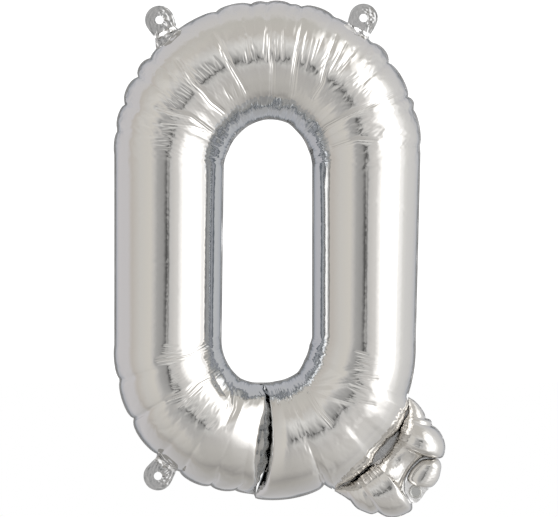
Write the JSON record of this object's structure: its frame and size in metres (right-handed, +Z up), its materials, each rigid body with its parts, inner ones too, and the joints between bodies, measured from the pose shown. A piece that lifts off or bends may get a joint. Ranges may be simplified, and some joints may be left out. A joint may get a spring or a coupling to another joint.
{
  "type": "letter foil balloon",
  "caption": "Air-filled letter Q of silver metallised film, front and back sheets welded round the outline and counter, with punched hanging tabs.",
  "frame": {"origin": "on the line through the two top hanging holes, above the middle of the bowl, in the seam plane", "axes": "+Z up the letter, +X to its right as it is read, -Y out of its front"},
  "size_m": [0.2395, 0.0794, 0.3739],
  "materials": {
    "film": "silver metallised film, smooth and mirror-like with fine gathers",
    "welded_film": "heat-welded metallised film, slightly duller",
    "tab_film": "flat metallised film, crinkled",
    "inlet": "satin film round the filling hole"
  },
  "bodies": {
    "root": {"bowl_front_film": "film", "bowl_back_film": "film", "tail_front_film": "film", "tail_back_film": "film", "valve_pouch_front_film": "film", "valve_pouch_back_film": "film", "outer_seam": "welded_film", "counter_seam": "welded_film", "tail_seam": "welded_film", "bowl_weld": "welded_film", "tail_weld": "welded_film", "valve_weld": "welded_film", "valve_tab": "welded_film", "valve_inlet": "inlet", "tab_top_left": "tab_film", "tab_top_right": "tab_film", "tab_bottom_left": "tab_film"}
  },
  "joints": []
}
